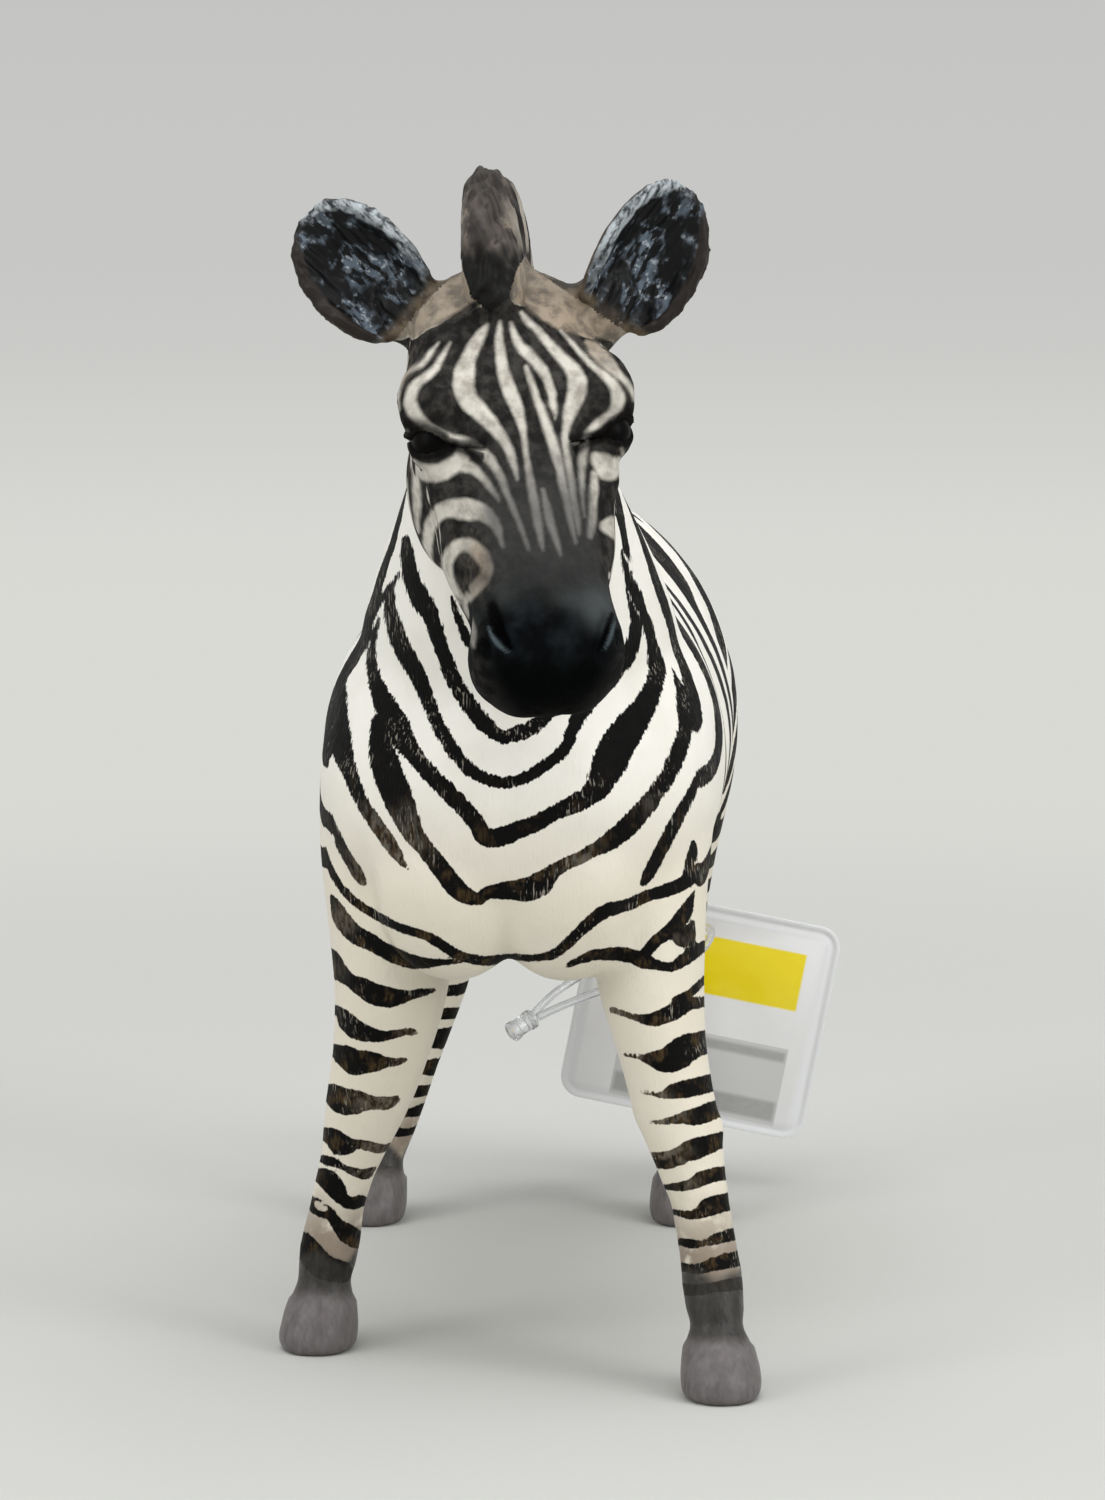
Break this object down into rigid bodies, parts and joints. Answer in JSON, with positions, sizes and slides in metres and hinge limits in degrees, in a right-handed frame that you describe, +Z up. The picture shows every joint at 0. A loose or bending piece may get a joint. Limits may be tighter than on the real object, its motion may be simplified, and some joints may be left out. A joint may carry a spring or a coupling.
{
  "type": "toy zebra figure",
  "caption": "Moulded standing zebra figure with turned head, upright mane and hanging tail, and a swing tag on a clear loop round one hind leg.",
  "frame": {"origin": "on the floor, under the middle of the figure's own bounding box", "axes": "+Z up, the figure faces -Y, its left side towards +X"},
  "size_m": [0.0442, 0.1008, 0.0923],
  "materials": {
    "torso": "satin painted cream white with black stripes",
    "head": "matt painted, off-white with charcoal stripes and a black muzzle",
    "mane": "matt painted grey-brown with a darker edge",
    "ear": "matt painted beige-brown outside, black and blue-grey inside",
    "eye": "glossy black paint",
    "leg": "satin painted cream with black bands and dark grey hooves",
    "tail": "satin painted cream with black bands and a dark tuft",
    "loop": "clear filament",
    "card": "coated white card with a plain yellow band and a plain grey panel",
    "leaflet": "folded white paper"
  },
  "bodies": {
    "figure": {"torso": "torso", "head": "head", "mane": "mane", "ear_left": "ear", "ear_right": "ear", "eye_left": "eye", "eye_right": "eye", "foreleg_left": "leg", "foreleg_right": "leg", "hindleg_left": "leg", "hindleg_right": "leg", "tail": "tail"},
    "loop": {"tag_loop": "loop", "loop_lock": "loop"},
    "tag": {"tag_card": "card", "tag_leaflet": "leaflet"}
  },
  "joints": [
    {"name": "loop_turn", "type": "hinge", "parent": "figure", "child": "loop", "pos_m": [0.01009, 0.03486, 0.0238], "axis": [0, 0, 1], "range_deg": [-12, 12]},
    {"name": "tag_swing", "type": "hinge", "parent": "loop", "child": "tag", "pos_m": [0.00559, 0.04616, 0.0243], "axis": [1, 0, 0], "range_deg": [-15, 15]}
  ]
}
